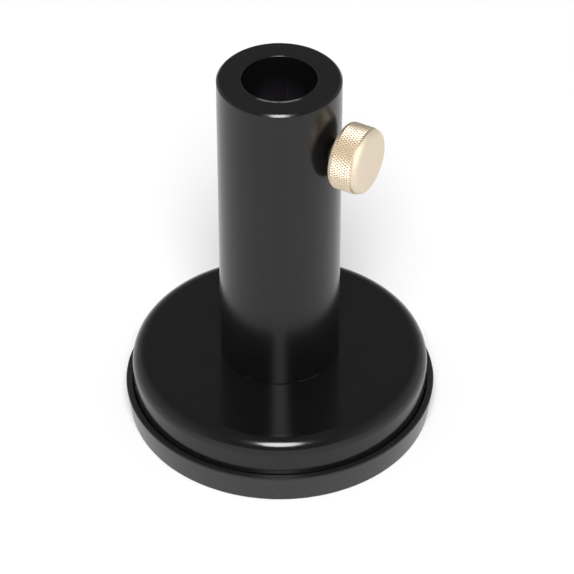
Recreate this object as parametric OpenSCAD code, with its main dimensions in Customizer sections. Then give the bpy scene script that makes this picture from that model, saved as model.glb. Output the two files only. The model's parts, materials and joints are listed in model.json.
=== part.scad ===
// Post holder: a bored tube with a clamping thumbscrew, on a round magnetic foot in a rubber boot.
// Millimetres, +Z up. The origin lies on the bench, on the tube's axis. The thumbscrew points along +X.

/* [Post tube] */
// Outside diameter of the tube
tube_d = 25.4; // [22:0.1:32]
// Length of the tube
tube_len = 70.5; // [50:0.1:120]
// Diameter of the bore that takes the post
bore_d = 15.4; // [10:0.1:16]
// Thickness of the solid foot below the bore
tube_foot = 14.3; // [12:0.1:20]
// Width of the chamfer at the bore's mouth
mouth_w = 0.25; // [0.1:0.05:0.8]
// Depth of that chamfer
mouth_depth = 0.25; // [0.1:0.05:0.8]
// Chamfer round the tube's top rim
rim_chamfer = 0.45; // [0.1:0.05:0.8]
// Chamfer round the tube's bottom edge
foot_chamfer = 0.2; // [0.1:0.05:0.8]

/* [Thumbscrew] */
// Height of the screw's axis below the tube's top
screw_drop = 13.8; // [9:0.1:30]
// Diameter of the knurled head over its points
head_d = 14.1; // [11:0.1:18]
// Length of the head
head_len = 6.7; // [5:0.1:9]
// Gap between the tube and the back of the head
head_gap = 1.6; // [1.5:0.05:4]
// Radius of the rounded edge on the outer end of the head
front_round = 1.4; // [0.3:0.05:1.6]
// Length of the bevel on the inner end of the head
back_bevel = 0.5; // [0.3:0.05:1.2]
// Number of knurl points round the head
knurl_count = 72; // [40:2:80]
// Depth of the knurl
knurl_depth = 0.12; // [0.08:0.01:0.3]
// Angle of the knurl's lines to the screw's axis
knurl_angle = 30; // [25:1:45]
// Diameter of the screw's shank
shank_d = 4.8; // [4:0.1:6]
// Clearance between the shank and its tapped hole, on each side
thread_clearance = 0.05; // [0.02:0.01:0.1]
// Countersink at the mouth of the tapped hole
thread_mouth = 0.4; // [0.2:0.05:0.8]

/* [Soft tip] */
// Diameter of the soft plug
tip_d = 2.6; // [2:0.1:3]
// Length of the plug that stands out of the shank
tip_proud = 1.0; // [0.5:0.1:1.5]
// Length of the plug inside the shank
tip_depth = 2.2; // [1.5:0.1:3]
// Distance of the plug's end behind the bore's wall
tip_setback = 0.2; // [0.1:0.05:0.5]
// Clearance round the plug in its hole, on each side
tip_clearance = 0.05; // [0.02:0.01:0.1]

/* [Base cup] */
// Diameter of the cup
cup_d = 63.5; // [56:0.1:80]
// Height of the cup
cup_h = 14; // [13:0.1:20]
// Thickness of the cup's top
cup_top = 4; // [3:0.1:4.5]
// Thickness of the cup's wall
cup_wall = 3.4; // [2.5:0.1:5]
// Radius of the cup's rounded top edge
cup_round = 3.3; // [1:0.1:3.9]
// Chamfer at the cup's bottom rim
cup_chamfer = 0.3; // [0.1:0.05:0.8]
// Diameter of the hole for the base screw
cup_hole_d = 6.6; // [6.2:0.1:7]

/* [Ring magnet] */
// Diameter of the hole in the magnet
magnet_hole_d = 24; // [16:0.1:30]
// Distance of the magnet's face behind the cup's rim
magnet_setback = 0.3; // [0.1:0.05:1]
// Width of the glue line round the magnet
glue_gap = 0.1; // [0.05:0.01:0.2]
// Chamfer on the magnet's edges
magnet_chamfer = 0.5; // [0.2:0.1:1]

/* [Rubber boot] */
// Thickness of the boot's floor
boot_floor = 0.9; // [0.6:0.1:2]
// Height of the boot
boot_h = 6.6; // [5:0.1:9]
// Thickness of the boot's wall at the bench
boot_foot_wall = 0.7; // [0.6:0.05:1.5]
// Thickness of the boot's wall at its widest
boot_lip_wall = 1.5; // [1.4:0.05:2.5]
// Radius of the outer edge of the boot's flat lip
lip_round = 0.15; // [0.1:0.05:1]
// Width of the groove between the lip and the cup
lip_groove = 0.2; // [0.1:0.05:0.5]
// Depth of that groove
lip_groove_depth = 1.2; // [0.5:0.1:2]
// Clearance between the boot's wall and the cup
boot_clearance = 0.05; // [0.02:0.01:0.15]
// Chamfer round the boot's bottom edge
boot_chamfer = 0.3; // [0.1:0.05:0.5]

/* [Base screw] */
// Diameter of the base screw
bolt_d = 6; // [5:0.1:6]
// Length of the screw inside the tube's foot
bolt_reach = 9; // [6:0.5:9]
// Diameter of the screw's head
bolt_head_d = 10; // [9:0.1:11]
// Height of the screw's head
bolt_head_h = 6; // [4:0.1:6]
// Width across flats of the hex socket
socket_w = 5; // [4:0.1:5.5]
// Depth of the hex socket
socket_depth = 3; // [2:0.1:3.5]
// Chamfer on the screw's edges
bolt_chamfer = 0.5; // [0.2:0.1:0.8]
// Clearance between the base screw and its tapped hole, on each side
bolt_clearance = 0.05; // [0.02:0.01:0.1]
// Room beyond the screw's end in the tapped hole
bolt_room = 1; // [0.5:0.1:1.5]

/* [Lock washer] */
// Width of the washer's ring
washer_w = 2.6; // [2:0.1:3]
// Thickness of the washer
washer_t = 1.6; // [1:0.1:1.6]
// Clearance of the washer on the screw, on each side
washer_clearance = 0.1; // [0.05:0.05:0.3]
// Width of the washer's split
washer_split = 0.8; // [0.5:0.1:1.5]
// Slant of the washer's split
washer_slant = 30; // [10:1:45]

/* [Hidden] */

// Fineness of round shapes, and the reach of a cut past the face that it opens
$fn = 128;
cut = 1;

// Angle of a drill's point
drill_angle = 118;

// Heights of the stack: boot floor, cup, tube
cup_z = boot_floor;
tube_z = cup_z + cup_h;
top_z = tube_z + tube_len;
screw_z = top_z - screw_drop;

// Radii of the tube and its holes
tube_r = tube_d / 2;
bore_r = bore_d / 2;
thread_r = shank_d / 2 + thread_clearance;

// Places along the thumbscrew's axis, measured from the tube's axis
tip_end = bore_r + tip_setback;
shank_end = tip_end + tip_proud;
tip_root = shank_end + tip_depth;
head_back = tube_r + head_gap;
head_front = head_back + head_len;
knurl_start = head_back + back_bevel;
knurl_end = head_front - front_round;

// The knurl is a lattice of half diamonds: two columns to a point, and rows set by the angle of its lines
head_r = head_d / 2;
knurl_root_r = head_r - knurl_depth;
knurl_cols = 2 * knurl_count;
knurl_half_w = PI * head_r / knurl_count;
knurl_rows = max(2, round((knurl_end - knurl_start) * tan(knurl_angle) / knurl_half_w));

// The turned core of the head stays just below the knurl's root, and its bevel runs a little way under the knurl
core_r = knurl_root_r - 0.05;
bevel_lap = 0.1;
face_r = core_r - front_round;
back_r = core_r - back_bevel;
shank_lead = 0.4;
tip_lead = 0.25;

// Inside of the cup, and the magnet that fills it
cup_r = cup_d / 2;
cup_inner_r = cup_r - cup_wall;
cup_top_z = tube_z - cup_top;
magnet_r = cup_inner_r - glue_gap;
magnet_z = cup_z + magnet_setback;
magnet_h = cup_top_z - magnet_z;

// The boot's side runs from its foot to the point where it meets the round of the lip
boot_inner_r = cup_r + boot_clearance;
boot_foot_r = boot_inner_r + boot_foot_wall;
lip_centre = [boot_inner_r + boot_lip_wall - lip_round, boot_h - lip_round];
lip_line = [boot_foot_r, boot_chamfer] - lip_centre;
lip_angle = atan2(lip_line.y, lip_line.x) + acos(lip_round / norm(lip_line));
lip_tangent = lip_centre + lip_round * [cos(lip_angle), sin(lip_angle)];

// The base screw hangs under the cup's top, with the washer between
bolt_r = bolt_d / 2;
bolt_hole_r = bolt_r + bolt_clearance;
bolt_end_z = tube_z + bolt_reach;
bolt_head_z = cup_top_z - washer_t;
washer_inner_r = bolt_r + washer_clearance;
washer_outer_r = washer_inner_r + washer_w;

tube_black = [0.07, 0.07, 0.08];
paint_black = [0.05, 0.05, 0.055];
rubber_black = [0.09, 0.09, 0.09];
brass_pale = [0.87, 0.76, 0.58];
tip_white = [0.9, 0.89, 0.85];
ferrite_grey = [0.22, 0.22, 0.23];
zinc_grey = [0.62, 0.63, 0.65];

// Turns what is drawn along +Z so that it lies along the thumbscrew's axis
module along_screw() {
    translate([0, 0, screw_z]) rotate([0, 90, 0]) children();
}

// Half section of a ring with all four edges chamfered
module ring_section(inner_r, outer_r, low, high, chamfer) {
    polygon([
        [inner_r + chamfer, low], [outer_r - chamfer, low], [outer_r, low + chamfer],
        [outer_r, high - chamfer], [outer_r - chamfer, high], [inner_r + chamfer, high],
        [inner_r, high - chamfer], [inner_r, low + chamfer],
    ]);
}

// Tapped hole for the base screw, with the cone that the drill leaves
module base_thread() {
    depth = bolt_reach + bolt_room;
    point = bolt_hole_r / tan(drill_angle / 2);
    translate([0, 0, tube_z - cut]) cylinder(h = depth + cut, r = bolt_hole_r);
    translate([0, 0, tube_z + depth]) cylinder(h = point, r1 = bolt_hole_r, r2 = 0);
}

// Tapped hole for the thumbscrew, through one wall of the tube, with a countersunk mouth
module cross_thread() {
    along_screw() {
        translate([0, 0, bore_r / 2]) cylinder(h = tube_r, r = thread_r);
        translate([0, 0, tube_r - thread_mouth])
            cylinder(h = thread_mouth + cut, r1 = thread_r, r2 = thread_r + thread_mouth + cut);
    }
}

module post_tube() {
    color(tube_black) difference() {
        rotate_extrude() polygon([
            [0, tube_z], [tube_r - foot_chamfer, tube_z], [tube_r, tube_z + foot_chamfer],
            [tube_r, top_z - rim_chamfer], [tube_r - rim_chamfer, top_z],
            [bore_r + mouth_w, top_z], [bore_r, top_z - mouth_depth],
            [bore_r, tube_z + tube_foot], [0, tube_z + tube_foot],
        ]);
        cross_thread();
        base_thread();
    }
}

// A knurl point stands where column and row are both even or both odd; the end rows lie at the root
function knurl_r(col, row) =
    (row == 0 || row == knurl_rows || (col + row) % 2 == 1) ? knurl_root_r : head_r;

function knurl_index(col, row) = row * knurl_cols + col % knurl_cols;

// Each cell of the lattice is split along the groove that crosses it
function knurl_cell(col, row) =
    let (a = knurl_index(col, row), b = knurl_index(col + 1, row))
    let (c = knurl_index(col + 1, row + 1), d = knurl_index(col, row + 1))
    (col + row) % 2 == 0 ? [[a, d, b], [b, d, c]] : [[a, d, c], [a, c, b]];

module knurl_band() {
    turn = 360 / knurl_cols;
    rise = (knurl_end - knurl_start) / knurl_rows;
    points = [
        for (row = [0 : knurl_rows], col = [0 : knurl_cols - 1])
            let (r = knurl_r(col, row))
            [r * cos(col * turn), r * sin(col * turn), knurl_start + row * rise]
    ];
    sides = [
        for (row = [0 : knurl_rows - 1], col = [0 : knurl_cols - 1])
            each knurl_cell(col, row)
    ];
    back = [for (col = [0 : knurl_cols - 1]) col];
    front = [for (col = [knurl_cols - 1 : -1 : 0]) knurl_index(col, knurl_rows)];
    polyhedron(points, concat(sides, [back, front]));
}

module thumbscrew() {
    hole_r = tip_d / 2 + tip_clearance;
    shank_r = shank_d / 2;
    color(brass_pale) along_screw() {
        rotate_extrude() {
            polygon([
                [hole_r, shank_end], [shank_r - shank_lead, shank_end], [shank_r, shank_end + shank_lead],
                [shank_r, head_back], [back_r, head_back], [core_r, knurl_start + bevel_lap],
                [core_r, knurl_end], [face_r, head_front], [0, head_front],
                [0, tip_root], [hole_r, tip_root],
            ]);
            translate([face_r, knurl_end]) circle(front_round);
        }
        knurl_band();
    }
}

module thumbscrew_tip() {
    tip_r = tip_d / 2;
    color(tip_white) along_screw() rotate_extrude() polygon([
        [0, tip_end], [tip_r - tip_lead, tip_end], [tip_r, tip_end + tip_lead], [tip_r, tip_root], [0, tip_root],
    ]);
}

module base_cup() {
    color(paint_black) rotate_extrude() difference() {
        union() {
            polygon([
                [0, cup_z], [cup_r - cup_chamfer, cup_z], [cup_r, cup_z + cup_chamfer],
                [cup_r, tube_z - cup_round], [cup_r - cup_round, tube_z], [0, tube_z],
            ]);
            translate([cup_r - cup_round, tube_z - cup_round]) circle(cup_round);
        }
        translate([0, cup_z - cut]) square([cup_inner_r, cup_top_z - cup_z + cut]);
        translate([0, cup_z]) square([cup_hole_d / 2, cup_h + cut]);
    }
}

module ring_magnet() {
    color(ferrite_grey) rotate_extrude()
        ring_section(magnet_hole_d / 2, magnet_r, magnet_z, magnet_z + magnet_h, magnet_chamfer);
}

module rubber_boot() {
    color(rubber_black) rotate_extrude() difference() {
        union() {
            polygon([
                [0, 0], [boot_foot_r - boot_chamfer, 0], [boot_foot_r, boot_chamfer], lip_tangent, lip_centre,
                [lip_centre.x, boot_h], [0, boot_h],
            ]);
            translate(lip_centre) circle(lip_round);
        }
        translate([0, boot_floor]) square([boot_inner_r, boot_h]);
        polygon([
            [boot_inner_r, boot_h + cut], [boot_inner_r - cut, boot_h - lip_groove_depth],
            [boot_inner_r, boot_h - lip_groove_depth], [boot_inner_r + lip_groove, boot_h],
            [boot_inner_r + lip_groove, boot_h + cut],
        ]);
    }
}

module base_screw() {
    head_low = bolt_head_z - bolt_head_h;
    head_r = bolt_head_d / 2;
    color(zinc_grey) difference() {
        rotate_extrude() polygon([
            [0, head_low], [head_r - bolt_chamfer, head_low], [head_r, head_low + bolt_chamfer],
            [head_r, bolt_head_z], [bolt_r, bolt_head_z], [bolt_r, bolt_end_z - bolt_chamfer],
            [bolt_r - bolt_chamfer, bolt_end_z], [0, bolt_end_z],
        ]);
        translate([0, 0, head_low - cut])
            cylinder(h = socket_depth + cut, d = socket_w / cos(30), $fn = 6);
    }
}

module lock_washer() {
    color(zinc_grey) difference() {
        translate([0, 0, bolt_head_z]) difference() {
            cylinder(h = washer_t, r = washer_outer_r);
            translate([0, 0, -cut]) cylinder(h = washer_t + 2 * cut, r = washer_inner_r);
        }
        translate([washer_inner_r + washer_w / 2, 0, bolt_head_z + washer_t / 2]) rotate([washer_slant, 0, 0])
            cube([washer_w + 2 * cut, washer_split, 4 * washer_t], center = true);
    }
}

post_tube();
thumbscrew();
thumbscrew_tip();
base_cup();
ring_magnet();
rubber_boot();
base_screw();
lock_washer();
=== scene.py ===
"""Looks of a post holder: a bored tube with a knurled thumbscrew, on a magnetic foot in a rubber boot."""

import json
import math

import bmesh
import bpy
from mathutils import Matrix, Vector


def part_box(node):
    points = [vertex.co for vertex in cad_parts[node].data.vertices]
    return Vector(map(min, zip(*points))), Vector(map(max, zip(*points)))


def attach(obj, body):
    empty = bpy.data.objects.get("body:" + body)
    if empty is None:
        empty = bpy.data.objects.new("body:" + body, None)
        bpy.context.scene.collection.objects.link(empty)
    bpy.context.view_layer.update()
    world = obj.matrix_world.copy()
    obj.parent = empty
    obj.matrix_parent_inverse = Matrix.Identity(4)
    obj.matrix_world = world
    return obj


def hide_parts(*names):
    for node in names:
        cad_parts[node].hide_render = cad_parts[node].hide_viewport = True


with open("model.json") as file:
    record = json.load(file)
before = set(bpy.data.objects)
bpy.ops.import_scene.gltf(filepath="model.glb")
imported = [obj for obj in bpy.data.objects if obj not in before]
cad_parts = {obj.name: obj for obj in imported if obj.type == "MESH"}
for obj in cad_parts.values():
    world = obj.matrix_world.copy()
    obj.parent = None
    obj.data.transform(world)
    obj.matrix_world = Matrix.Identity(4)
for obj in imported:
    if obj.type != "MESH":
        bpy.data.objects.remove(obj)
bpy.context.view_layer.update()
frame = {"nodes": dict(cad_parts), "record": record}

bl_info = {
    "name": "Post holder",
    "version": (1, 0, 0),
    "blender": (4, 5, 0),
    "location": "View3D > Sidebar > Post holder",
    "description": "Models and finishes a post holder on a round magnetic foot, with its studio stage",
    "category": "Object",
}

MM = 0.001

# Boxes of the solids, and the values of the record that sizes come from
TUBE_LOW, TUBE_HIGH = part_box("post_tube")
SCREW_LOW, SCREW_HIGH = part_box("thumbscrew")
_, TIP_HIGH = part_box("thumbscrew_tip")
CUP_LOW, CUP_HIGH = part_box("base_cup")
_, BOOT_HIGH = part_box("rubber_boot")
_, MAGNET_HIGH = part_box("ring_magnet")
MOUNTS = {mount["name"]: mount for mount in frame["record"]["mounts"]}
BORE = MOUNTS["post_bore"]["dims"]

# Advance of the thumbscrew for each radian that it turns
ADVANCE = frame["record"]["behaviour"]["couplings"][0]["ratio"]

# Height of the thumbscrew's axis
SCREW_Z = (SCREW_LOW.z + SCREW_HIGH.z) / 2

# Direction towards the camera: the painted glint of bare metal at the bore's mouth faces it, and the painted
# lighter tint deep in the bore faces away from it
CAMERA_SIDE = Vector((0.475, -0.88, 0.0))

# Steps of a full turn on the large round pieces and on small holes
ROUND_STEPS = 192
HOLE_STEPS = 64

# Vertices closer than this are one, and edges sharper than this stay sharp
MERGE_DISTANCE = 1e-7
SHARP_ANGLE = math.radians(32)

# Length of the segments of a rounded corner, and their least number
ROUND_SEGMENT = 0.12 * MM
ROUND_LEAST = 4

# How far a cutting tool reaches past the face that it opens, and a joined piece into its neighbour
OVERLAP = 1.0 * MM

# Half the angle of a drill's point
DRILL_HALF_ANGLE = math.radians(59)

# How far a finish reaches past the radius that bounds it
FINISH_MARGIN = 0.02 * MM

# Refractive indices of the anodised skin, the enamel and the rubber
ANODISE_IOR = 1.42
ENAMEL_IOR = 1.42
RUBBER_IOR = 1.45

# Depth of the floor's middle below the foot, so that the two faces stay apart
FLOOR_DROP = 0.01 * MM

# Brightness of the room by height, from the horizon up
WALL_STOPS = (
    (0.0, 1.0), (0.12, 0.85), (0.34, 0.57), (0.52, 0.42), (0.62, 0.34), (0.75, 0.33), (0.95, 0.35),
)


def length(name, description, default):
    """Property that holds a length in metres."""
    return bpy.props.FloatProperty(
        name=name, description=description, default=default, min=0.0, precision=5, unit="LENGTH"
    )


def tint(name, description, default):
    """Property that holds a colour."""
    return bpy.props.FloatVectorProperty(
        name=name, description=description, default=default, min=0.0, max=1.0, size=3, subtype="COLOR"
    )


def share(name, description, default):
    """Property that holds a number from 0 to 1."""
    return bpy.props.FloatProperty(
        name=name, description=description, default=default, min=0.0, max=1.0, subtype="FACTOR"
    )


def angle(name, description, degrees):
    """Property that holds an angle."""
    return bpy.props.FloatProperty(
        name=name, description=description, default=math.radians(degrees), subtype="ANGLE"
    )


def power(name, description, default):
    """Property that holds a lamp's power in watts."""
    return bpy.props.FloatProperty(
        name=name, description=description, default=default, min=0.0, unit="POWER"
    )


class TubeSettings(bpy.types.PropertyGroup):
    """Sizes and finish of the post tube."""

    radius: length("Radius", "Outside radius of the tube", TUBE_HIGH.x)
    bore_radius: length("Bore radius", "Radius of the bore that takes the post", BORE["r_mm"] * MM)
    bore_length: length("Bore length", "Depth of the bore", BORE["length_mm"] * MM)
    rim_chamfer: length("Rim chamfer", "Chamfer of the tube's top rim", 0.45 * MM)
    rim_edge: length("Rim edge", "Rounding of that chamfer's edges", 0.06 * MM)
    mouth_round: length("Mouth round", "Rounding of the bore's mouth", 0.25 * MM)
    foot_round: length("Foot round", "Rounding of the tube's bottom edge", 0.2 * MM)
    thread_radius: length("Thread radius", "Radius of the tapped cross hole", 2.45 * MM)
    thread_mouth: length("Thread mouth", "Countersink of the tapped cross hole", 0.4 * MM)
    bolt_radius: length("Bolt radius", "Radius of the tapped hole in the foot", 3.05 * MM)
    bolt_depth: length("Bolt depth", "Depth of the tapped hole in the foot", 10.0 * MM)
    colour: tint("Colour", "Colour of the anodised skin", (0.003, 0.003, 0.0032))
    bloom: tint("Bloom", "Colour where the dye took less", (0.0045, 0.0044, 0.0047))
    # Painted glint: bare metal rubbed onto the bore's mouth on the side that faces the camera; the bare
    # colour also serves the real chips at the foot
    bare: tint("Bare", "Colour of bare metal at the worn mouth", (0.40, 0.40, 0.41))
    glint_wear: share("Wear", "How far the front of the bore's mouth is worn", 0.8)
    chips: share("Chips", "How bare the chips along the tube's bottom edge are", 0.35)
    # Painted light: a lighter purplish tint on the bore's back wall deep down, where the camera looks in
    scored: tint("Scored", "Colour of the scored wall of the bore", (0.021, 0.017, 0.022))
    roughness: share("Roughness", "Roughness of the anodised skin", 0.2)


class ThumbscrewSettings(bpy.types.PropertyGroup):
    """Sizes and finish of the thumbscrew."""

    head_radius: length("Head radius", "Radius of the head over its knurl", SCREW_HIGH.y)
    head_length: length("Head length", "Length of the head", 6.7 * MM)
    front_round: length("Front round", "Rounding of the outer end", 1.4 * MM)
    back_bevel: length("Back bevel", "Length of the bevel on the inner end", 0.5 * MM)
    back_round: length("Back round", "Rounding of that bevel's edge", 0.35 * MM)
    knurl_count: bpy.props.IntProperty(
        name="Knurl count", description="Points of the knurl round the head", default=72, min=8
    )
    knurl_rows: bpy.props.IntProperty(
        name="Knurl rows", description="Half diamonds of the knurl along the head", default=9, min=2
    )
    knurl_depth: length("Knurl depth", "Depth of the knurl", 0.2 * MM)
    point_flat: length("Point flat", "How far the knurl's points are cut back", 0.08 * MM)
    shank_radius: length("Shank radius", "Radius of the shank over its thread", 2.4 * MM)
    pitch: length("Pitch", "Advance of the thread in one turn", math.tau * ADVANCE)
    thread_depth: length("Thread depth", "Depth of the thread", 0.43 * MM)
    lead: length("Lead", "Bevel at the end of the thread", 0.4 * MM)
    tip_hole: length("Tip hole", "Radius of the hole for the soft tip", 1.35 * MM)
    colour: tint("Colour", "Colour of the bright brass", (0.77, 0.69, 0.575))
    # Painted shade: the colour that darkens the knurl's band towards its roots
    groove_shade: tint("Tarnish", "Colour of brass deep in the knurl", (0.70, 0.56, 0.38))
    # Colour that darkens the shank behind the head nearly to black
    dark_shank: tint("Grime", "Colour of the greasy thread", (0.05, 0.038, 0.024))
    roughness: share("Roughness", "Roughness of the turned brass", 0.76)
    knurl_roughness: share("Knurl roughness", "Roughness of the knurl", 0.52)


class CupSettings(bpy.types.PropertyGroup):
    """Sizes and finish of the steel cup of the foot."""

    radius: length("Radius", "Outside radius of the cup", CUP_HIGH.x)
    top: length("Top", "Thickness of the cup's top", CUP_HIGH.z - MAGNET_HIGH.z)
    wall: length("Wall", "Thickness of the cup's wall", 3.4 * MM)
    top_round: length("Top round", "Rounding of the cup's top edge", 3.3 * MM)
    bottom_round: length("Bottom round", "Rounding of the cup's bottom edge", 0.3 * MM)
    hole_radius: length("Hole radius", "Radius of the hole for the base screw", 3.3 * MM)
    hole_round: length("Hole round", "Rounding of that hole's upper edge", 0.15 * MM)
    colour: tint("Colour", "Colour of the enamel", (0.0035, 0.0035, 0.0037))
    haze: tint("Haze", "Colour where the enamel is thinner", (0.005, 0.0049, 0.005))
    roughness: share("Roughness", "Roughness of the enamel", 0.16)


class BootSettings(bpy.types.PropertyGroup):
    """Sizes and finish of the rubber boot of the foot."""

    radius: length("Radius", "Radius of the boot at its widest", BOOT_HIGH.x)
    foot_radius: length("Foot radius", "Radius of the boot at the bench", 32.5 * MM)
    inner_radius: length("Inner radius", "Radius of the inside of the boot", 31.8 * MM)
    floor: length("Floor", "Thickness of the boot's floor", CUP_LOW.z)
    lip_round: length("Lip round", "Rounding of the outer edge of the boot's lip", 0.15 * MM)
    foot_round: length("Foot round", "Rounding of the boot's bottom edge", 0.3 * MM)
    groove: length("Groove", "Width of the groove between the lip and the cup", 0.2 * MM)
    groove_depth: length("Groove depth", "Depth of that groove", 1.2 * MM)
    colour: tint("Colour", "Colour of the rubber", (0.011, 0.011, 0.0115))
    dust: tint("Dust", "Colour of its pale specks", (0.026, 0.026, 0.027))
    roughness: share("Roughness", "Roughness of the rubber", 0.27)


class InsideSettings(bpy.types.PropertyGroup):
    """Finish of the pieces that are hidden in the foot and in the tube."""

    ferrite: tint("Ferrite", "Colour of the magnet", (0.055, 0.056, 0.06))
    zinc: tint("Zinc", "Colour of the plated screw and washer", (0.60, 0.61, 0.63))
    nylon: tint("Nylon", "Colour of the soft tip", (0.80, 0.78, 0.71))


class StageSettings(bpy.types.PropertyGroup):
    """Floor, light and camera."""

    floor_colour: tint("Floor", "Colour of the floor", (0.74, 0.74, 0.74))
    floor_glow: share("Floor glow", "Brightness added to what is seen of the floor", 0.14)
    floor_radius: length("Floor radius", "Radius of the flat part of the floor", 2.5)
    floor_cove: length("Floor cove", "Radius of the curve at the floor's edge", 0.5)
    softbox_distance: length("Softbox distance", "Distance of the softbox from the holder", 3.0)
    softbox_power: power("Softbox power", "Power of the softbox", 108.0)
    softbox_width: length("Softbox width", "Width of the oval softbox", 1.22)
    softbox_height: length("Softbox height", "Height of the oval softbox", 1.44)
    softbox_rise: angle("Softbox rise", "Elevation of the softbox", 52.0)
    room: share("Room", "Brightness of the room at the horizon", 0.85)
    room_front: share("Room front", "Share of that brightness that is lost behind the camera", 0.5)
    view_turn: angle("View turn", "Turn of the camera from the front", 28.36)
    view_tilt: angle("View tilt", "Tilt of the camera below the horizon", 39.775)
    view_distance: length("View distance", "Level distance of the camera from the tube's axis", 0.47513)
    view_height: length("View height", "Height of the camera", 0.42662)
    view_side: length("View side", "Sideways place of the camera", 0.00154)
    lens: bpy.props.FloatProperty(
        name="Lens", description="Focal length of the camera", default=183.1, unit="CAMERA"
    )


class HolderSettings(bpy.types.PropertyGroup):
    """All settings of the post holder."""

    tube: bpy.props.PointerProperty(type=TubeSettings, name="Tube", description="Post tube")
    thumbscrew: bpy.props.PointerProperty(
        type=ThumbscrewSettings, name="Thumbscrew", description="Knurled thumbscrew"
    )
    cup: bpy.props.PointerProperty(type=CupSettings, name="Cup", description="Steel cup of the foot")
    boot: bpy.props.PointerProperty(type=BootSettings, name="Boot", description="Rubber boot of the foot")
    inside: bpy.props.PointerProperty(type=InsideSettings, name="Inside", description="Hidden pieces")
    stage: bpy.props.PointerProperty(type=StageSettings, name="Stage", description="Floor, light and camera")


# Modelling

def outline(points, closed=False):
    """Bmesh with a wire through (radius, height, round) points, with an arc at each round above 0."""
    bm = bmesh.new()
    corners = [bm.verts.new((radius, 0.0, height)) for radius, height, _ in points]
    for start, end in zip(corners, corners[1:]):
        bm.edges.new((start, end))
    if closed:
        bm.edges.new((corners[-1], corners[0]))
    for corner, (_, _, rounding) in zip(corners, points):
        if rounding > 0.0:
            segments = max(ROUND_LEAST, round(rounding / ROUND_SEGMENT))
            bmesh.ops.bevel(
                bm, geom=[corner], offset=rounding, segments=segments, profile=0.5, affect="VERTICES",
                material=-1,
            )
    return bm


def arc(radius, height, size, start, end, steps=12):
    """Points for an outline along an arc about a centre, between two angles from the level."""
    angles = [start + (end - start) * step / steps for step in range(steps + 1)]
    return [(radius + size * math.cos(turn), height + size * math.sin(turn), 0.0) for turn in angles]


def spin_round(bm, steps):
    """Turns the wire in a bmesh into a solid of revolution about Z."""
    bmesh.ops.spin(
        bm, geom=bm.verts[:] + bm.edges[:], cent=(0, 0, 0), axis=(0, 0, 1), angle=math.tau, steps=steps,
        use_merge=True,
    )
    close_up(bm)
    return bm


def close_up(bm):
    """Merges doubled vertices, drops loose edges and points the faces outwards."""
    bmesh.ops.remove_doubles(bm, verts=bm.verts, dist=MERGE_DISTANCE)
    loose = [edge for edge in bm.edges if not edge.link_faces]
    bmesh.ops.delete(bm, geom=loose, context="EDGES")
    bmesh.ops.recalc_face_normals(bm, faces=bm.faces)


def turned(points, steps=ROUND_STEPS, closed=False):
    """Solid of revolution about Z of an outline."""
    return spin_round(outline(points, closed), steps)


def lay_along_screw(bm):
    """Lays what stands along Z on the thumbscrew's axis, which runs along X."""
    bmesh.ops.rotate(bm, verts=bm.verts, cent=(0, 0, 0), matrix=Matrix.Rotation(math.pi / 2, 3, "Y"))
    bmesh.ops.translate(bm, verts=bm.verts, vec=(0, 0, SCREW_Z))
    return bm


def scratch_object(name, bm):
    """Object that lasts only until a cut is made."""
    mesh = bpy.data.meshes.new(name)
    bm.to_mesh(mesh)
    bm.free()
    scratch = bpy.data.objects.new(name, mesh)
    bpy.context.scene.collection.objects.link(scratch)
    return scratch


def combine(body, tool, operation):
    """Bmesh of two solids, cut or joined."""
    body = scratch_object("body_solid", body)
    tool = scratch_object("tool_solid", tool)
    cut = body.modifiers.new("Cut", "BOOLEAN")
    cut.operation = operation
    cut.solver = "EXACT"
    cut.object = tool
    depsgraph = bpy.context.evaluated_depsgraph_get()
    result = bmesh.new()
    result.from_object(body, depsgraph)
    for scratch in (body, tool):
        mesh = scratch.data
        bpy.data.objects.remove(scratch)
        bpy.data.meshes.remove(mesh)
    if not result.faces:
        raise RuntimeError("The cut left nothing of the solid")
    return result


def finish_piece(name, bm, material, body, node):
    """Makes the finished object of a bmesh, in place of a CAD node."""
    close_up(bm)
    if any(not edge.is_manifold for edge in bm.edges):
        raise RuntimeError(f"The mesh of {name} isn't closed")
    mesh = bpy.data.meshes.new(name)
    bm.to_mesh(mesh)
    bm.free()
    mesh.shade_smooth()
    mesh.set_sharp_from_angle(angle=SHARP_ANGLE)
    mesh.materials.append(material)
    piece = bpy.data.objects.new(name, mesh)
    bpy.context.scene.collection.objects.link(piece)
    shading = piece.modifiers.new("Even shading", "WEIGHTED_NORMAL")
    shading.keep_sharp = True
    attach(piece, body)
    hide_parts(node)


def raise_knurl(bm, low, high, root, peak, count, rows, flat):
    """Raises the points of a diamond knurl on the band of a turned head between two heights."""
    step = math.pi / count
    rise = (high - low) / rows
    margin = 0.25 * rise
    # Column and row of each vertex of the band; a point stands where their sum is even
    places = {}
    for vert in bm.verts:
        if low - margin < vert.co.z < high + margin and abs(vert.co.xy.length - root) < margin:
            column = round(math.atan2(vert.co.y, vert.co.x) / step)
            places[vert] = column, round((vert.co.z - low) / rise)
    grooves = [vert for vert, (column, row) in places.items() if (column + row) % 2]
    bmesh.ops.connect_verts(bm, verts=grooves)
    points = [
        vert for vert, (column, row) in places.items()
        if (column + row) % 2 == 0 and 0 < row < rows
    ]
    for vert in points:
        vert.co.xy *= peak / root
    bmesh.ops.bevel(
        bm, geom=points, offset=flat, segments=1, profile=0.5, affect="VERTICES", material=-1
    )


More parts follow.
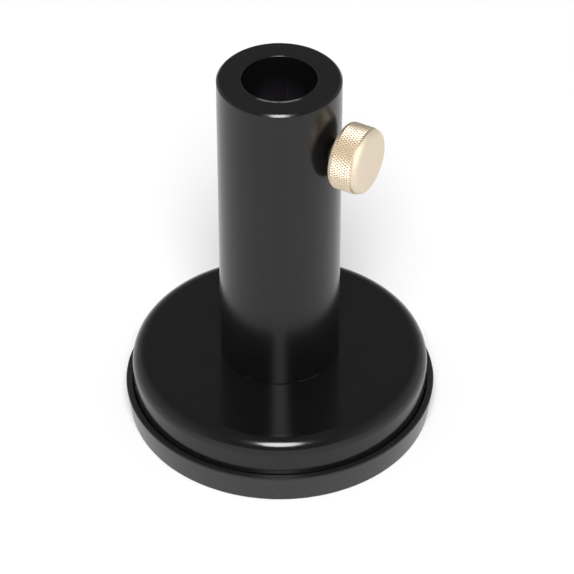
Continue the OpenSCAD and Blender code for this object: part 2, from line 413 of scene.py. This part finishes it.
def threaded_rod(radius, depth, pitch, low, high, lead):
    """Closed rod along Z with a right-hand thread and a bevelled lower end."""
    root = radius - depth
    # Radii along one turn of the thread, by share of its pitch
    profile = ((root, 0.0), (root, 0.25), (radius, 0.5625), (radius, 0.6875), (root, 1.0))
    below = low - 2 * pitch
    turns = math.ceil((high - below) / pitch) + 1
    bm = outline([(r, below + share_of_pitch * pitch, 0.0) for r, share_of_pitch in profile])
    bmesh.ops.spin(
        bm, geom=bm.verts[:] + bm.edges[:], cent=(0, 0, 0), axis=(0, 0, 1), angle=math.tau * turns,
        steps=HOLE_STEPS * turns, dvec=(0, 0, pitch / HOLE_STEPS), use_merge=False,
    )
    bmesh.ops.remove_doubles(bm, verts=bm.verts, dist=MERGE_DISTANCE)
    for height, side in ((low, 1), (high, -1)):
        bmesh.ops.bisect_plane(
            bm, geom=bm.verts[:] + bm.edges[:] + bm.faces[:], dist=MERGE_DISTANCE, plane_co=(0, 0, height),
            plane_no=(0, 0, side), clear_inner=True,
        )
    # The thread tapers off into the bevel at the lower end
    for vert in bm.verts:
        limit = radius - lead + vert.co.z - low
        if vert.co.xy.length > limit:
            vert.co.xy *= limit / vert.co.xy.length
    bmesh.ops.holes_fill(bm, edges=[edge for edge in bm.edges if edge.is_boundary], sides=0)
    close_up(bm)
    return bm


# Finishes

class Value:
    """Output of a shader node that can be used in sums and products."""

    def __init__(self, nodes, socket):
        self.nodes = nodes
        self.socket = socket

    def __add__(self, other):
        return self.nodes.maths("ADD", self, other)

    def __radd__(self, other):
        return self.nodes.maths("ADD", other, self)

    def __sub__(self, other):
        return self.nodes.maths("SUBTRACT", self, other)

    def __rsub__(self, other):
        return self.nodes.maths("SUBTRACT", other, self)

    def __mul__(self, other):
        return self.nodes.maths("MULTIPLY", self, other)

    def __rmul__(self, other):
        return self.nodes.maths("MULTIPLY", other, self)


class NodeTree:
    """Node tree of a material or of the world."""

    # Sockets of the Mix node for colours, by number because they share their names
    MIX_FACTOR = 0
    MIX_FIRST = 6
    MIX_SECOND = 7
    MIX_RESULT = 2

    def __init__(self, owner):
        owner.use_nodes = True
        self.tree = owner.node_tree
        self.tree.nodes.clear()

    def node(self, kind, settings=None, sockets=None, output=0):
        """Adds a node, sets it up, fills its sockets and returns one of its outputs."""
        node = self.tree.nodes.new(kind)
        for name, value in (settings or {}).items():
            if name == "stops":
                self.set_stops(node.color_ramp, value)
            else:
                setattr(node, name, value)
        for name, value in (sockets or {}).items():
            if isinstance(value, Value):
                self.tree.links.new(value.socket, node.inputs[name])
            else:
                node.inputs[name].default_value = value
        return Value(self, node.outputs[output]) if node.outputs else None

    def set_stops(self, ramp, stops):
        """Gives a ramp its (position, brightness) stops."""
        while len(ramp.elements) < len(stops):
            ramp.elements.new(1.0)
        for element, (position, brightness) in zip(ramp.elements, stops):
            element.position = position
            element.color = (brightness, brightness, brightness, 1.0)

    def maths(self, operation, *values):
        """Adds a Math node."""
        return self.node("ShaderNodeMath", {"operation": operation}, dict(enumerate(values)))

    def place(self):
        """Object coordinates."""
        return self.node("ShaderNodeTexCoord", output="Object")

    def along(self, axis):
        """Object coordinate along one axis."""
        return self.node("ShaderNodeSeparateXYZ", sockets={0: self.place()}, output=axis)

    def stretched(self, scale):
        """Object coordinates, stretched along each axis."""
        return self.node("ShaderNodeMapping", sockets={"Vector": self.place(), "Scale": scale})

    def noise(self, vector, scale, detail=2.0):
        """Noise from 0 to 1."""
        return self.node("ShaderNodeTexNoise", sockets={"Vector": vector, "Scale": scale, "Detail": detail})

    def ramp(self, value, *stops):
        """A value read off a ramp of (position, brightness) stops."""
        return self.node("ShaderNodeValToRGB", {"stops": stops}, {"Fac": value})

    def fade(self, value, none, full):
        """Goes from 0 to 1 as a value goes from one number to another."""
        sockets = {"Value": value, "From Min": none, "From Max": full}
        return self.node("ShaderNodeMapRange", {"clamp": True}, sockets)

    def reach(self, vector, axes):
        """Length of a vector, counted along some of its axes."""
        across = self.node("ShaderNodeVectorMath", {"operation": "MULTIPLY"}, {0: vector, 1: axes})
        return self.node("ShaderNodeVectorMath", {"operation": "LENGTH"}, {0: across}, output="Value")

    def dot(self, vector, axis):
        """Length of a vector along a direction."""
        return self.node(
            "ShaderNodeVectorMath", {"operation": "DOT_PRODUCT"}, {0: vector, 1: axis}, output="Value"
        )

    def blend(self, factor, first, second):
        """Mix of two colours."""
        colours = [colour if isinstance(colour, Value) else (*colour, 1.0) for colour in (first, second)]
        sockets = {self.MIX_FACTOR: factor, self.MIX_FIRST: colours[0], self.MIX_SECOND: colours[1]}
        return self.node("ShaderNodeMix", {"data_type": "RGBA"}, sockets, output=self.MIX_RESULT)

    def bump(self, height, distance):
        """Normal of a surface with a height on it."""
        return self.node("ShaderNodeBump", sockets={"Height": height, "Distance": distance})


class Finish(NodeTree):
    """Material of one piece."""

    def __init__(self, name):
        self.material = bpy.data.materials.new(name)
        super().__init__(self.material)

    def close(self, sockets):
        """Adds the Principled shader with its sockets, and returns the material."""
        shader = self.node("ShaderNodeBsdfPrincipled", sockets=sockets)
        self.node("ShaderNodeOutputMaterial", sockets={"Surface": shader})
        return self.material


def anodise_finish(settings):
    """Satin black anodise with faint turning marks, scored in the bore, bare in real chips at the foot, with
    a painted glint of bare metal on the mouth's camera side and a painted lighter tint deep in the bore.
    """
    finish = Finish("black_anodise")
    radius = finish.reach(finish.place(), (1, 1, 0))
    rise = finish.along("Z")
    marks = finish.noise(finish.stretched((40, 40, 9000)), 1.0)
    scores = finish.noise(finish.stretched((2600, 2600, 50)), 1.0)
    cloud = finish.noise(finish.place(), 180.0)
    in_bore = finish.maths("LESS_THAN", radius, settings.bore_radius + FINISH_MARGIN)
    towards_camera = finish.dot(finish.place(), CAMERA_SIDE) * (1 / settings.bore_radius)

    # Painted glint: the bore's mouth is made bare metal on the side that faces the camera, less so out on
    # the rim
    mouth_radius = settings.bore_radius + settings.mouth_round
    near_mouth = finish.fade(radius, mouth_radius + 0.5 * MM, mouth_radius + 0.1 * MM)
    at_top = finish.maths("GREATER_THAN", rise, TUBE_HIGH.z - 2 * settings.mouth_round)
    facing_camera = finish.ramp(towards_camera, (0.86, 0.0), (1.0, 1.0))
    rubbed = finish.ramp(finish.noise(finish.place(), 700.0, 3.0), (0.35, 0.3), (0.6, 1.0))

    # Small chips lie along the tube's bottom edge
    at_foot = finish.maths("LESS_THAN", rise, TUBE_LOW.z + settings.foot_round)
    chipped = finish.ramp(finish.noise(finish.place(), 500.0, 4.0), (0.5, 0.0), (0.6, 1.0))
    # Bare metal where the painted glint sits at the mouth and where the real chips lie at the foot
    worn = settings.glint_wear * rubbed * near_mouth * at_top * facing_camera + settings.chips * at_foot * chipped

    # Painted light: the back wall of the bore, which the camera sees, gets a lighter purplish tint along its
    # scores, from 5 mm below the top and fully from 10 mm; the scores' relief runs all round the bore
    deep = finish.fade(rise, TUBE_HIGH.z - 5 * MM, TUBE_HIGH.z - 10 * MM)
    at_back = finish.ramp(-1 * towards_camera, (0.65, 0.0), (0.95, 1.0))
    skin = finish.blend(cloud, settings.colour, settings.bloom)
    skin = finish.blend(in_bore * scores * deep * at_back, skin, settings.scored)

    # The relief in the bore is 20 times as deep as the turning marks outside
    relief = marks * (1 - in_bore) + 20 * scores * in_bore
    satin = settings.roughness + 0.05 * (marks - 0.5) + 0.03 * cloud
    return finish.close({
        "Base Color": finish.blend(worn, skin, settings.bare),
        "Metallic": worn,
        "Roughness": satin + 0.3 * in_bore * (scores - 0.4),
        "IOR": ANODISE_IOR,
        "Normal": finish.bump(relief, distance=0.0004 * MM),
    })


def brass_finish(settings):
    """Pale turned brass, with painted shade deep in the knurl and a shank darkened nearly to black."""
    finish = Finish("pale_brass")
    on_axis = {"Vector": finish.place(), "Location": (0, 0, -SCREW_Z)}
    radius = finish.reach(finish.node("ShaderNodeMapping", sockets=on_axis), (0, 1, 1))
    root = settings.head_radius - settings.knurl_depth
    height = finish.fade(radius, root, root + 0.7 * settings.knurl_depth)
    on_knurl = finish.maths("GREATER_THAN", radius, root - FINISH_MARGIN)
    cloud = finish.noise(finish.place(), 420.0, 3.0)
    rings = finish.node("ShaderNodeTexNoise", {"noise_dimensions": "1D"}, {"W": radius, "Scale": 6000.0})
    # Painted shade: the knurl's band is darker, most at the roots of the knurl and least on its points; the
    # cloud adds random tone
    groove_shade_share = on_knurl * (0.7 - 0.6 * height) + 0.12 * cloud
    # The shank behind the head is darkened nearly to black
    near_axis = finish.maths("LESS_THAN", radius, settings.shank_radius + FINISH_MARGIN)
    behind_head = finish.maths("LESS_THAN", finish.along("X"), SCREW_HIGH.x - settings.head_length)
    brass = finish.blend(groove_shade_share, settings.colour, settings.groove_shade)
    knurl_change = settings.knurl_roughness - settings.roughness
    return finish.close({
        "Base Color": finish.blend(0.9 * (near_axis * behind_head), brass, settings.dark_shank),
        "Metallic": 1.0,
        "Roughness": settings.roughness + 0.08 * (cloud - 0.5) + knurl_change * on_knurl,
        "Normal": finish.bump(rings, distance=0.0006 * MM),
    })


def enamel_finish(settings):
    """Gloss black enamel with a slight orange peel."""
    finish = Finish("black_enamel")
    peel = finish.noise(finish.place(), 700.0, 1.0)
    cloud = finish.noise(finish.place(), 90.0)
    return finish.close({
        "Base Color": finish.blend(cloud, settings.colour, settings.haze),
        "Roughness": settings.roughness + 0.05 * (cloud - 0.5),
        "IOR": ENAMEL_IOR,
        "Normal": finish.bump(peel, distance=0.002 * MM),
    })


def rubber_finish(settings):
    """Satin black rubber with fine pale specks, scuffed along the edge of its lip."""
    finish = Finish("black_rubber")
    edge = 2 * settings.lip_round
    radius = finish.reach(finish.place(), (1, 1, 0))
    at_rim = finish.maths("GREATER_THAN", radius, settings.radius - edge)
    scuffed = at_rim * finish.maths("GREATER_THAN", finish.along("Z"), BOOT_HIGH.z - edge)
    grain = finish.noise(finish.place(), 3200.0, 3.0)
    speck = finish.ramp(finish.noise(finish.place(), 1400.0, 4.0), (0.62, 0.0), (0.78, 1.0))
    cloud = finish.noise(finish.place(), 120.0)
    return finish.close({
        "Base Color": finish.blend(speck, settings.colour, settings.dust),
        "Roughness": settings.roughness + 0.1 * (cloud - 0.5) + 0.08 * (grain - 0.5) + 0.45 * scuffed,
        "IOR": RUBBER_IOR,
        "Normal": finish.bump(grain, distance=0.003 * MM),
    })


def ferrite_finish(settings):
    """Ground grey ferrite with fine pits."""
    finish = Finish("grey_ferrite")
    grain = finish.noise(finish.place(), 2600.0, 4.0)
    lapped = finish.noise(finish.stretched((300, 9000, 300)), 1.0)
    lighter = tuple(1.7 * channel for channel in settings.ferrite)
    return finish.close({
        "Base Color": finish.blend(grain, settings.ferrite, lighter),
        "Roughness": 0.5 + 0.2 * (lapped - 0.5),
        "Normal": finish.bump(grain, distance=0.01 * MM),
    })


def zinc_finish(settings):
    """Bright zinc plating with a faint spangle."""
    finish = Finish("plated_steel")
    spangle = finish.noise(finish.place(), 900.0, 3.0)
    marks = finish.noise(finish.stretched((200, 200, 7000)), 1.0)
    duller = tuple(0.72 * channel for channel in settings.zinc)
    return finish.close({
        "Base Color": finish.blend(spangle, settings.zinc, duller),
        "Metallic": 1.0,
        "Roughness": 0.26 + 0.16 * (spangle - 0.5),
        "Normal": finish.bump(marks, distance=0.002 * MM),
    })


def nylon_finish(settings):
    """Natural nylon with faint turning marks."""
    finish = Finish("white_nylon")
    cloud = finish.noise(finish.place(), 700.0)
    marks = finish.noise(finish.stretched((9000, 200, 200)), 1.0)
    warmer = tuple(channel * shade for channel, shade in zip(settings.nylon, (0.95, 0.92, 0.85)))
    return finish.close({
        "Base Color": finish.blend(cloud, settings.nylon, warmer),
        "Roughness": 0.42 + 0.1 * (marks - 0.5),
        "Normal": finish.bump(marks, distance=0.003 * MM),
    })


# Pieces

class POSTHOLDER_OT_tube(bpy.types.Operator):
    """Model the post tube, with its bore and its tapped holes"""

    bl_idname = "postholder.tube"
    bl_label = "Post tube"

    def execute(self, context):
        size = context.scene.post_holder.tube
        low = TUBE_LOW.z
        high = TUBE_HIGH.z
        bolt_point = size.bolt_radius / math.tan(DRILL_HALF_ANGLE)
        # Edges round the tube under the cross hole keep its cut off the long faces below
        under_hole = SCREW_Z - 2 * size.thread_radius
        tube = turned([
            (0.0, high - size.bore_length, 0.0),
            (size.bore_radius, high - size.bore_length, 0.0),
            (size.bore_radius, under_hole, 0.0),
            (size.bore_radius, high, size.mouth_round),
            (size.radius - size.rim_chamfer, high, size.rim_edge),
            (size.radius, high - size.rim_chamfer, size.rim_edge),
            (size.radius, under_hole, 0.0),
            (size.radius, low, size.foot_round),
            (size.bolt_radius, low, 0.0),
            (size.bolt_radius, low + size.bolt_depth, 0.0),
            (0.0, low + size.bolt_depth + bolt_point, 0.0),
        ])
        past = size.radius + OVERLAP
        mouth = size.thread_radius + size.thread_mouth + OVERLAP
        drill = turned([
            (0.0, size.bore_radius / 2, 0.0),
            (size.thread_radius, size.bore_radius / 2, 0.0),
            (size.thread_radius, size.radius - size.thread_mouth, 0.0),
            (mouth, past, 0.0),
            (0.0, past, 0.0),
        ], HOLE_STEPS)
        tube = combine(tube, lay_along_screw(drill), "DIFFERENCE")
        finish_piece("tube_skin", tube, anodise_finish(size), "holder", "post_tube")
        return {"FINISHED"}


class POSTHOLDER_OT_thumbscrew(bpy.types.Operator):
    """Model the thumbscrew, with its diamond knurl and its thread"""

    bl_idname = "postholder.thumbscrew"
    bl_label = "Thumbscrew"

    def execute(self, context):
        size = context.scene.post_holder.thumbscrew
        front = SCREW_HIGH.x
        back = front - size.head_length
        knurl_low = back + size.back_bevel
        knurl_high = front - size.front_round
        root = size.head_radius - size.knurl_depth
        head = outline([
            (0.0, back, 0.0),
            (root - size.back_bevel, back, size.back_round),
            (root, knurl_low, 0.0),
            (root, front, size.front_round),
            (0.0, front, 0.0),
        ])
        band = [
            edge for edge in head.edges
            if all(abs(vert.co.x - root) < MERGE_DISTANCE for vert in edge.verts)
        ]
        bmesh.ops.subdivide_edges(head, edges=band, cuts=size.knurl_rows - 1)
        spin_round(head, 2 * size.knurl_count)
        raise_knurl(
            head, knurl_low, knurl_high, root, size.head_radius, size.knurl_count, size.knurl_rows,
            size.point_flat,
        )
        shank = threaded_rod(
            size.shank_radius, size.thread_depth, size.pitch, SCREW_LOW.x, back + OVERLAP, size.lead
        )
        screw = combine(head, shank, "UNION")
        before = SCREW_LOW.x - OVERLAP
        hole = turned([
            (0.0, before, 0.0),
            (size.tip_hole, before, 0.0),
            (size.tip_hole, TIP_HIGH.x, 0.0),
            (0.0, TIP_HIGH.x, 0.0),
        ], HOLE_STEPS)
        screw = lay_along_screw(combine(screw, hole, "DIFFERENCE"))
        finish_piece("thumbscrew_body", screw, brass_finish(size), "thumbscrew", "thumbscrew")
        return {"FINISHED"}


class POSTHOLDER_OT_cup(bpy.types.Operator):
    """Model the enamelled steel cup of the foot"""

    bl_idname = "postholder.cup"
    bl_label = "Base cup"

    def execute(self, context):
        size = context.scene.post_holder.cup
        low = CUP_LOW.z
        high = CUP_HIGH.z
        inner = size.radius - size.wall
        cup = turned([
            (size.hole_radius, high, size.hole_round),
            (size.radius, high, size.top_round),
            (size.radius, low, size.bottom_round),
            (inner, low, 0.0),
            (inner, high - size.top, 0.0),
            (size.hole_radius, high - size.top, 0.0),
        ], closed=True)
        finish_piece("cup_shell", cup, enamel_finish(size), "holder", "base_cup")
        return {"FINISHED"}


class POSTHOLDER_OT_boot(bpy.types.Operator):
    """Model the rubber boot of the foot, with its flat lip"""

    bl_idname = "postholder.boot"
    bl_label = "Rubber boot"

    def execute(self, context):
        size = context.scene.post_holder.boot
        high = BOOT_HIGH.z
        lip = arc(size.radius - size.lip_round, high - size.lip_round, size.lip_round, 0.0, math.pi / 2)
        boot = turned([
            (0.0, 0.0, 0.0),
            (size.foot_radius, 0.0, size.foot_round),
            *lip,
            (size.inner_radius + size.groove, high, 0.0),
            (size.inner_radius, high - size.groove_depth, 0.0),
            (size.inner_radius, size.floor, 0.0),
            (0.0, size.floor, 0.0),
        ])
        finish_piece("boot_shell", boot, rubber_finish(size), "holder", "rubber_boot")
        return {"FINISHED"}


class POSTHOLDER_OT_inside(bpy.types.Operator):
    """Finish the magnet, the base screw, the lock washer and the soft tip"""

    bl_idname = "postholder.inside"
    bl_label = "Hidden pieces"

    def execute(self, context):
        settings = context.scene.post_holder.inside
        zinc = zinc_finish(settings)
        finishes = {
            "ring_magnet": ferrite_finish(settings),
            "base_screw": zinc,
            "lock_washer": zinc,
            "thumbscrew_tip": nylon_finish(settings),
        }
        for name, material in finishes.items():
            for slot in frame["nodes"][name].material_slots:
                slot.material = material
        return {"FINISHED"}


class POSTHOLDER_OT_stage(bpy.types.Operator):
    """Set the floor, the softbox, the room's light and the camera"""

    bl_idname = "postholder.stage"
    bl_label = "Stage"

    def execute(self, context):
        stage = context.scene.post_holder.stage
        self.lay_floor(context, stage)
        self.light_room(context, stage)
        self.hang_softbox(context, stage)
        self.place_camera(context, stage)
        context.scene.view_settings.view_transform = "Standard"
        return {"FINISHED"}

    def seen(self, nodes):
        """1 where the camera, a reflection or a clear material looks straight at the stage, else 0."""
        by_camera, by_gloss, by_glass = [
            nodes.node("ShaderNodeLightPath", output=name)
            for name in ("Is Camera Ray", "Is Glossy Ray", "Is Transmission Ray")
        ]
        return nodes.maths("MINIMUM", by_camera + by_gloss + by_glass, 1.0)

    def lay_floor(self, context, stage):
        """Adds the pale round floor with its upturned edge."""
        cove = arc(stage.floor_radius, stage.floor_cove, stage.floor_cove, -math.pi / 2, 0.0)
        bm = turned([(0.0, -FLOOR_DROP, 0.0), *cove])
        mesh = bpy.data.meshes.new("floor")
        bm.to_mesh(mesh)
        bm.free()
        mesh.shade_smooth()
        material = bpy.data.materials.new("pale_floor")
        nodes = NodeTree(material)
        matt = nodes.node("ShaderNodeBsdfDiffuse", sockets={"Color": (*stage.floor_colour, 1.0)})
        glow = nodes.node("ShaderNodeEmission", sockets={"Strength": stage.floor_glow * self.seen(nodes)})
        both = nodes.node("ShaderNodeAddShader", sockets={0: matt, 1: glow})
        nodes.node("ShaderNodeOutputMaterial", sockets={"Surface": both})
        mesh.materials.append(material)
        floor = bpy.data.objects.new("floor", mesh)
        context.scene.collection.objects.link(floor)

    def light_room(self, context, stage):
        """Makes the world a room with bright flanks that is darker above and behind the camera."""
        world = bpy.data.worlds.new("room")
        nodes = NodeTree(world)
        direction = nodes.node("ShaderNodeTexCoord", output="Generated")
        side, back, _ = Matrix.Rotation(stage.view_turn, 3, "Z").transposed()
        facing = nodes.dot(direction, back)
        height = nodes.node("ShaderNodeSeparateXYZ", sockets={0: direction}, output="Z")
        wall = nodes.ramp(height, *WALL_STOPS)
        flanks = nodes.ramp(nodes.maths("ABSOLUTE", nodes.dot(direction, side)), (0.45, 0.0), (0.8, 0.45))
        front = nodes.ramp(-1 * facing, (0.3, 0.0), (0.8, 1.0))
        room = stage.room * (wall + flanks) * (1 - stage.room_front * front)
        sky = nodes.node("ShaderNodeBackground", sockets={"Strength": room})
        nodes.node("ShaderNodeOutputWorld", sockets={"Surface": sky})
        context.scene.world = world

    def hang_softbox(self, context, stage):
        """Adds the oval lamp above the camera, aimed at the holder's foot."""
        lamp = bpy.data.lights.new("softbox", "AREA")
        lamp.shape = "ELLIPSE"
        lamp.size = stage.softbox_width
        lamp.size_y = stage.softbox_height
        lamp.energy = stage.softbox_power
        softbox = bpy.data.objects.new("softbox", lamp)
        turn = Matrix.Rotation(stage.view_turn, 4, "Z")
        tilt = Matrix.Rotation(math.pi / 2 - stage.softbox_rise, 4, "X")
        softbox.matrix_world = turn @ tilt @ Matrix.Translation((0, 0, stage.softbox_distance))
        context.scene.collection.objects.link(softbox)

    def place_camera(self, context, stage):
        """Adds the camera at the photo's viewing angle."""
        optics = bpy.data.cameras.new("camera")
        optics.lens = stage.lens
        optics.clip_start = 10 * MM
        camera = bpy.data.objects.new("camera", optics)
        turn = Matrix.Rotation(stage.view_turn, 4, "Z")
        spot = Matrix.Translation((stage.view_side, -stage.view_distance, stage.view_height))
        camera.matrix_world = turn @ spot @ Matrix.Rotation(math.pi / 2 - stage.view_tilt, 4, "X")
        context.scene.collection.objects.link(camera)
        context.scene.camera = camera


OPERATORS = (
    POSTHOLDER_OT_tube,
    POSTHOLDER_OT_thumbscrew,
    POSTHOLDER_OT_cup,
    POSTHOLDER_OT_boot,
    POSTHOLDER_OT_inside,
    POSTHOLDER_OT_stage,
)


class POSTHOLDER_PT_panel(bpy.types.Panel):
    """Lists the pieces of the post holder with their settings"""

    bl_idname = "POSTHOLDER_PT_panel"
    bl_label = "Post holder"
    bl_space_type = "VIEW_3D"
    bl_region_type = "UI"
    bl_category = "Post holder"

    def draw(self, context):
        settings = context.scene.post_holder
        for operator in OPERATORS:
            box = self.layout.box()
            box.operator(operator.bl_idname)
            group = getattr(settings, operator.bl_idname.split(".")[1])
            for name in group.__annotations__:
                box.prop(group, name)


CLASSES = (
    TubeSettings,
    ThumbscrewSettings,
    CupSettings,
    BootSettings,
    InsideSettings,
    StageSettings,
    HolderSettings,
    *OPERATORS,
    POSTHOLDER_PT_panel,
)


def register():
    """Registers the classes, and the settings on the scene."""
    for cls in CLASSES:
        bpy.utils.register_class(cls)
    bpy.types.Scene.post_holder = bpy.props.PointerProperty(type=HolderSettings)


def unregister():
    """Takes back what register added."""
    del bpy.types.Scene.post_holder
    for cls in reversed(CLASSES):
        bpy.utils.unregister_class(cls)


def main():
    """Builds all pieces and the stage."""
    register()
    bpy.ops.postholder.tube()
    bpy.ops.postholder.thumbscrew()
    bpy.ops.postholder.cup()
    bpy.ops.postholder.boot()
    bpy.ops.postholder.inside()
    bpy.ops.postholder.stage()


if __name__ == "__main__":
    main()
